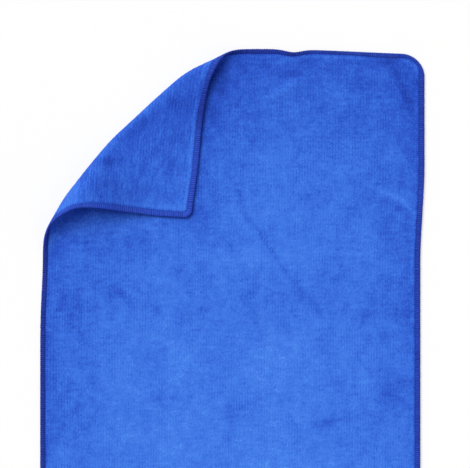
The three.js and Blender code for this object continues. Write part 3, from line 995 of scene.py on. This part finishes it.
def overlock():
    """The looper thread: a coil round the oval section, one turn a stitch, each uneven."""
    stitches, steps = round(HEM_LENGTH / STITCH), 10
    count = np.arange(stitches * steps)
    noise = np.random.default_rng(11)
    uneven_stitch = np.repeat(noise.normal(0, 1, stitches), steps)
    turn = 2 * HALF_TURN * count / steps
    walked = count * HEM_LENGTH / len(count) + 0.12 * uneven_stitch
    path = edge_point(walked, *section(turn, walked, 0.10 + 0.03 * uneven_stitch))
    core = edge_point(walked, (HEM_INSET + BACK_REACH) / 2 + 0 * turn, BAND_MIDDLE + 0 * turn)
    plan = np.stack([walked, 3 * np.sin(turn), 9 * uneven_stitch], -1)
    tone = thread_tone(walked, turn) + 0.03 * uneven_stitch
    return thread_tube("overlock_thread", path, path - core, 0.56, 0.20, 5, THREAD, plan, tone)


def needle_line(name, side, seed):
    """The needle thread's line of stitches on one face, inside the overlocking: it dips into the
    pile once a stitch and swings a little to and fro."""
    stitches, steps = round(HEM_LENGTH / NEEDLE_STITCH), 6
    count = np.arange(stitches * steps)
    turn = 2 * HALF_TURN * count / steps
    noise = np.repeat(np.random.default_rng(seed).normal(0, 1, stitches), steps)
    walked = count * HEM_LENGTH / len(count)
    inset = reach(walked, side) + 0.2 + 0.18 * np.sin(turn) + 0.05 * noise
    height = side * (0.62 + 0.20 * np.cos(turn))
    path = edge_point(walked, inset, height)
    core = edge_point(walked, inset, 0 * height)
    plan = np.stack([walked, 3 * np.sin(turn), 9 * noise + 50 * side], -1)
    tone = thread_tone(walked, side * HALF_TURN / 2) - 0.3
    return thread_tube(name, path, path - core, 0.30, 0.20, 5, THREAD, plan, tone)


ground_sheet = ground()
pile = face_pile() + back_pile()
underlay_band = underlay()
edging = [
    overlock(),
    needle_line("needle_thread_face", 1, 12),
    needle_line("needle_thread_back", -1, 13),
]

for piece in [ground_sheet, *pile]:
    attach(piece, "root")
for piece in [underlay_band, *edging]:
    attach(piece, "root")
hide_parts("terry_cloth")
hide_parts("overlocked_edge")


# ---------------------------------------------------------------- floor, light and camera
def white_when_seen(tree, shader):
    """A shader that shows as plain white of strength one to the camera, in gloss and through glass,
    and otherwise as given."""
    path = tree.add("LightPath").outputs
    seen = tree.math("MAXIMUM", path["Is Camera Ray"], path["Is Glossy Ray"])
    seen = tree.math("MAXIMUM", seen, path["Is Transmission Ray"])
    white = tree.add("Background", {"Color": (1, 1, 1, 1), "Strength": 1.0})
    return tree.add("MixShader", {0: seen, 1: shader, 2: white.outputs[0]}).outputs[0]


def make_floor():
    """A wide plain floor just under the towel, which the camera sees half as white of itself, so
    that it keeps a faint shadow."""
    side, low = 7000.0, -0.15
    corners = ((-side, -side), (side, -side), (side, side), (-side, side))
    points = np.array([(x, y, low) for x, y in corners])
    material, tree = new_material("floor")
    shader = tree.add("BsdfDiffuse", {"Color": (1, 1, 1, 1), "Roughness": 0.0})
    glow = tree.add("Emission", {"Color": (1, 1, 1, 1), "Strength": 1.0})
    seen = tree.math("MULTIPLY", tree.add("LightPath").outputs["Is Camera Ray"], 0.5)
    surface = tree.add("MixShader", {0: seen, 1: shader.outputs[0], 2: glow.outputs[0]})
    tree.add("OutputMaterial", {"Surface": surface.outputs[0]})
    floor = make_piece("floor", points, [np.array([[0, 1, 2, 3]])], material)


def make_lights():
    """Even light from all round and a soft key from the upper left, together at a level where a
    colour renders about as written."""
    world = bpy.data.worlds.new("studio")
    bpy.context.scene.world = world
    world.use_nodes = True
    world.node_tree.nodes.clear()
    tree = Tree(world.node_tree)
    fill = tree.add("Background", {"Color": (0.93, 0.98, 1.25, 1), "Strength": 0.30})
    tree.add("OutputWorld", {"Surface": white_when_seen(tree, fill.outputs[0])})
    key = bpy.data.lights.new("key", "SUN")
    key.color = (1.0, 0.97, 0.86)
    key.energy = 2.64
    key.angle = np.radians(42)
    lamp = bpy.data.objects.new("key", key)
    lamp.rotation_mode = "QUATERNION"
    lamp.rotation_quaternion = Vector((0.36, -0.36, -0.86)).to_track_quat("-Z", "Y")
    bpy.context.scene.collection.objects.link(lamp)


def make_camera():
    """Straight down from far off, so that the towel's upper end fills the frame."""
    seen_width, away = 369.1, 6000.0
    over_x, over_y = 2.1, 154.6
    data = bpy.data.cameras.new("camera")
    data.sensor_width = 36.0
    data.lens = data.sensor_width * away / seen_width
    data.clip_start, data.clip_end = 0.1, 100.0
    camera = bpy.data.objects.new("camera", data)
    camera.location = (over_x * METRES, over_y * METRES, away * METRES)
    bpy.context.scene.collection.objects.link(camera)
    bpy.context.scene.camera = camera


make_floor()
make_lights()
make_camera()
bpy.context.scene.view_settings.view_transform = "Standard"
